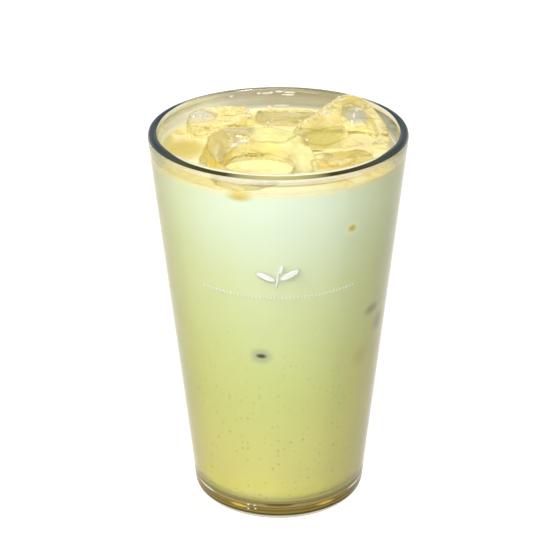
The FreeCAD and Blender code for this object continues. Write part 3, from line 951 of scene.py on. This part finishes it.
def white_where_seen(tree):
    """1 for rays straight from the camera, off one mirror face or through one clear wall."""
    path = node(tree, "ShaderNodeLightPath")
    seen = node(tree, "ShaderNodeMath", {
        0: path.outputs["Is Camera Ray"], 1: path.outputs["Is Glossy Ray"]},
        operation="MAXIMUM")
    seen = node(tree, "ShaderNodeMath", {
        0: seen.outputs[0], 1: path.outputs["Is Transmission Ray"]}, operation="MAXIMUM")
    few = node(tree, "ShaderNodeMath", {
        0: path.outputs["Ray Depth"], 1: 2.5}, operation="LESS_THAN")
    plain = node(tree, "ShaderNodeMath", {
        0: path.outputs["Diffuse Depth"], 1: 0.5}, operation="LESS_THAN")
    seen = node(tree, "ShaderNodeMath", {0: seen.outputs[0], 1: few.outputs[0]},
                operation="MULTIPLY")
    return node(tree, "ShaderNodeMath", {0: seen.outputs[0], 1: plain.outputs[0]},
                operation="MULTIPLY").outputs[0]


def make_floor():
    """A wide flat table top, pale, that takes only a faint shadow.

    Its glow grows with distance, so that no line shows where it meets the room.
    """
    half = 3.0
    points = np.array([(-half, -half, 0.0), (half, -half, 0.0), (half, half, 0.0),
                       (-half, half, 0.0)])
    floor = add_mesh("table_top", points, np.array([0, 1, 2, 3]), np.array([4]))
    made, tree = new_material("pale_table_paint")
    matt = node(tree, "ShaderNodeBsdfDiffuse", {"Color": linear("#dcd9d0")})
    away = node(tree, "ShaderNodeVectorMath", {
        0: node(tree, "ShaderNodeTexCoord").outputs["Object"]}, operation="LENGTH")
    far_off = node(tree, "ShaderNodeMapRange", {
        "Value": away.outputs["Value"], "From Min": 0.3, "From Max": 1.0, "To Min": 0.62,
        "To Max": 1.0})
    glow = node(tree, "ShaderNodeEmission", {
        "Color": linear("#ffffff"), "Strength": far_off.outputs[0]})
    both = node(tree, "ShaderNodeAddShader", {0: matt.outputs[0], 1: glow.outputs[0]})
    mixed = node(tree, "ShaderNodeMixShader", {
        0: white_where_seen(tree), 1: matt.outputs[0], 2: both.outputs[0]})
    node(tree, "ShaderNodeOutputMaterial", {"Surface": mixed.outputs[0]})
    floor.data.materials.append(made)


def make_room():
    """A pale room: its wall is white where it is seen, its ceiling and its light dimmer."""
    room = bpy.data.worlds.new("pale_room")
    room.use_nodes = True
    room.node_tree.nodes.clear()
    tree = room.node_tree
    split = node(tree, "ShaderNodeSeparateXYZ", {
        0: node(tree, "ShaderNodeTexCoord").outputs["Generated"]})
    wall_or_ceiling = node(tree, "ShaderNodeMapRange", {
        "Value": split.outputs["Z"], "From Min": 0.22, "From Max": 0.45, "To Min": 1.0,
        "To Max": 0.42})
    seen = node(tree, "ShaderNodeBackground", {
        "Color": (1.0, 1.0, 1.0, 1.0), "Strength": wall_or_ceiling.outputs[0]})
    given = node(tree, "ShaderNodeBackground", {
        "Color": linear("#f6f4ee"), "Strength": 0.40})
    mixed = node(tree, "ShaderNodeMixShader", {
        0: white_where_seen(tree), 1: given.outputs[0], 2: seen.outputs[0]})
    node(tree, "ShaderNodeOutputWorld", {"Surface": mixed.outputs[0]})
    bpy.context.scene.world = room


def soft_lamp(name, place, aim, size, power, colour):
    """A square lamp of that size in metres, turned to face the point it is aimed at."""
    data = bpy.data.lights.new(name, "AREA")
    data.size = size
    data.energy = power
    data.color = linear(colour)[:3]
    lamp = bpy.data.objects.new(name, data)
    lamp.location = place
    away = np.array(place) - np.array(aim)
    lamp.rotation_euler = (math.atan2(math.hypot(away[0], away[1]), away[2]), 0.0,
                           math.atan2(away[1], away[0]) + math.pi / 2.0)
    bpy.context.scene.collection.objects.link(lamp)


make_floor()
make_room()
soft_lamp("key_front_left", (-0.34, -0.93, 0.60), (0.0, 0.0, 0.07), 0.8, 6.9, "#fffbf5")
soft_lamp("fill_right", (0.80, -0.15, 0.40), (0.0, 0.0, 0.07), 0.5, 0.6, "#eff5ff")
soft_lamp("overhead", (0.0, 0.15, 0.95), (0.0, 0.0, 0.1), 0.24, 1.5, "#fffdf6")
soft_lamp("spark_behind", (0.10, 0.30, 0.80), (0.0, 0.0, 0.1), 0.045, 1.0, "#ffffff")
soft_lamp("spark_beside", (-0.35, -0.35, 0.90), (0.0, 0.0, 0.1), 0.045, 1.0, "#ffffff")

LOOK_DOWN, HEAD_TILT = math.radians(24.94), math.radians(0.12)
camera_data = bpy.data.cameras.new("eye")
camera_data.sensor_width = 36.0
camera_data.lens = 115.2
camera_data.shift_x = 0.0054
camera = bpy.data.objects.new("eye", camera_data)
camera.location = (0.0, -0.5688, 0.3446)
camera.rotation_euler = (math.pi / 2.0 - LOOK_DOWN, HEAD_TILT, 0.0)
bpy.context.scene.collection.objects.link(camera)
bpy.context.scene.camera = camera
bpy.context.scene.view_settings.view_transform = "Standard"
